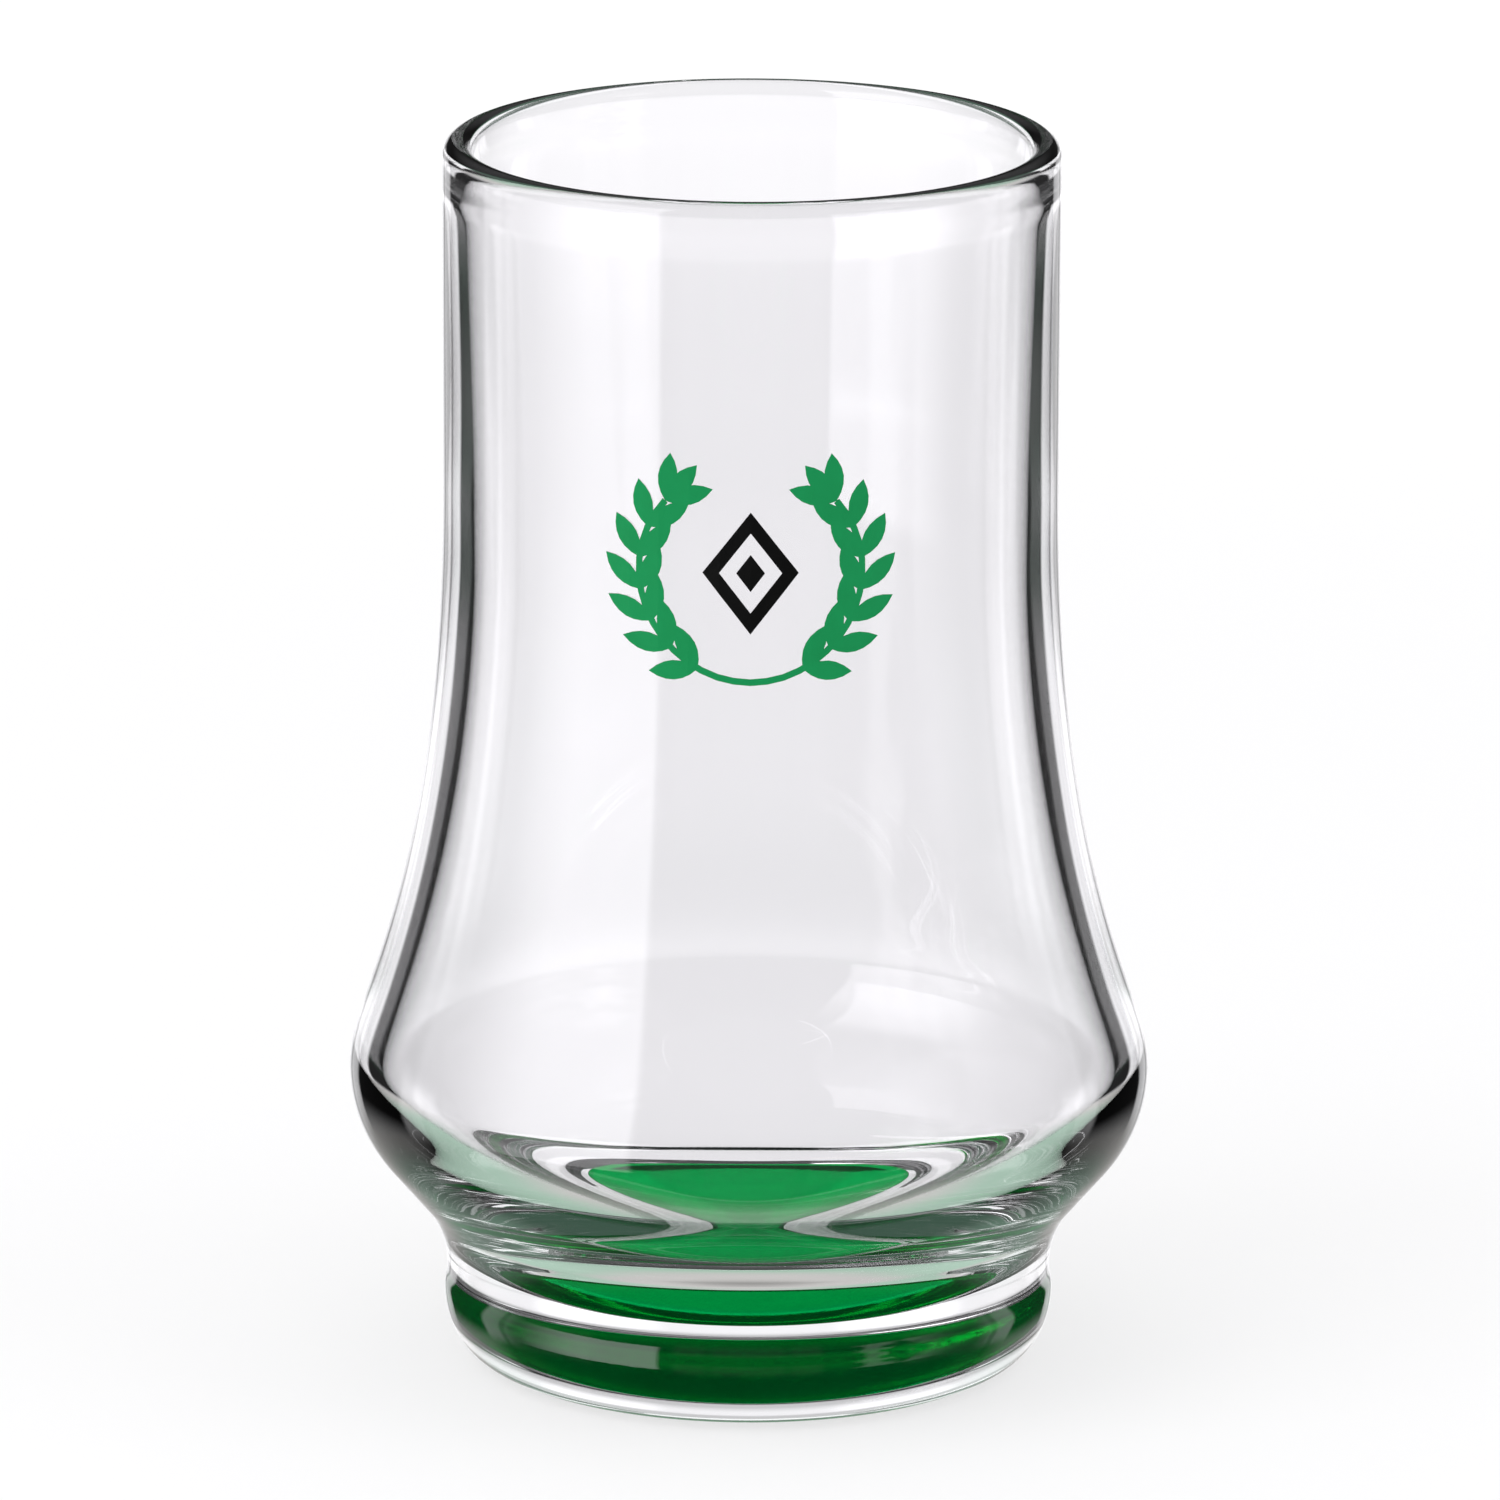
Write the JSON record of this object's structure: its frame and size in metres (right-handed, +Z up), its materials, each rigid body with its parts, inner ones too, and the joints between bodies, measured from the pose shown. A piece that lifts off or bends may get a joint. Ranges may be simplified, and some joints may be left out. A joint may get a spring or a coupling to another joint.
{
  "type": "whisky tasting glass",
  "caption": "Small footed tasting glass with a straight neck, flared belly and solid colour-coated foot, for nosing and sipping spirits.",
  "frame": {"origin": "centre of the circle that the foot stands on, in the plane of the bearing ring", "axes": "+Z up along the glass's axis, -Y towards the printed front, +X to the right of someone who faces the print"},
  "size_m": [0.0636, 0.0636, 0.0984],
  "materials": {
    "clear_glass": "fire-polished clear",
    "green_lacquer": "translucent gloss",
    "green_ink": "satin",
    "black_ink": "satin"
  },
  "bodies": {
    "root": {"glass_body": "clear_glass", "base_colour_coat": "green_lacquer", "print_wreath": "green_ink", "print_lozenge": "black_ink", "print_pip": "black_ink"}
  },
  "joints": []
}
